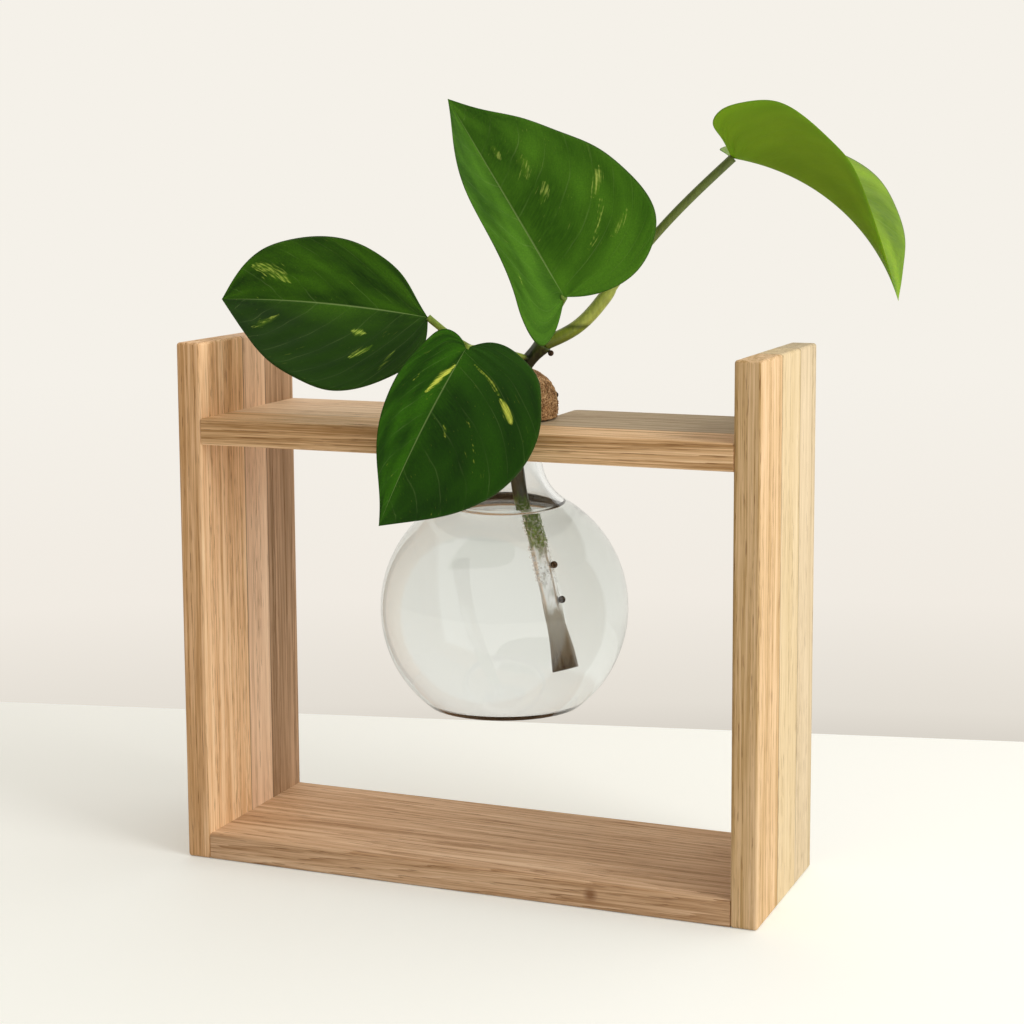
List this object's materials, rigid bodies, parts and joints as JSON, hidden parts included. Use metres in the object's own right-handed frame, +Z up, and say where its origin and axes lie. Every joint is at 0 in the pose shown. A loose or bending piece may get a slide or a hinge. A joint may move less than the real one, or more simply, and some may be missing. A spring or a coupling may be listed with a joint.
{
  "type": "propagation vase",
  "caption": "Free-standing oak frame with a slotted shelf that holds a round glass vase by its neck, with a plugged mouth and a leafy cutting.",
  "frame": {"origin": "middle of the wooden frame's footprint, on the surface that it stands on", "axes": "+X to the right seen from the front, +Y to the back where the slot opens, +Z up"},
  "size_m": [0.2613, 0.1268, 0.2908],
  "materials": {
    "oak_rosy": "planed oak, rosy, bare",
    "oak_pale": "planed oak, pale, bare",
    "oak_honey": "planed oak, honey, bare",
    "oak_brown": "planed oak, greyish brown, bare",
    "peg_wood": "turned peg",
    "clear_glass": "clear blown glass",
    "coir": "matted plant fibre",
    "stem_skin": "living stem, dark green",
    "root_bark": "dark root bark",
    "stalk_skin": "living stalk, smooth",
    "leaf_dark": "living leaf, waxy, dark",
    "leaf_bright": "living leaf, waxy, bright"
  },
  "bodies": {
    "frame": {"left_upright_front_stave": "oak_rosy", "left_upright_middle_stave": "oak_pale", "left_upright_rear_stave": "oak_brown", "right_upright_front_stave": "oak_honey", "right_upright_middle_stave": "oak_pale", "right_upright_rear_stave": "oak_rosy", "base_board": "oak_brown", "shelf_front_rail": "oak_honey", "shelf_rear_left_block": "oak_pale", "shelf_rear_right_block": "oak_brown", "base_dowels": "peg_wood", "shelf_dowels": "peg_wood", "rail_dowels": "peg_wood"},
    "vase": {"glass_globe": "clear_glass"},
    "cutting": {"plug_dome": "coir", "plug_taper": "coir", "main_stem": "stem_skin", "root_nubs": "root_bark", "left_petiole": "stalk_skin", "front_petiole": "stalk_skin", "top_petiole": "stalk_skin", "right_petiole": "stalk_skin", "left_leaf": "leaf_dark", "front_leaf": "leaf_dark", "top_leaf": "leaf_dark", "right_leaf": "leaf_bright"}
  },
  "joints": [
    {"name": "vase_slide", "type": "slide", "parent": "frame", "child": "vase", "axis": [0, 1, 0], "range_m": [0, 0.055], "deforming": ["front_leaf"]},
    {"name": "cutting_lift", "type": "slide", "parent": "vase", "child": "cutting", "axis": [-0.171, 0, 0.9853], "range_m": [0, 0.11]}
  ]
}
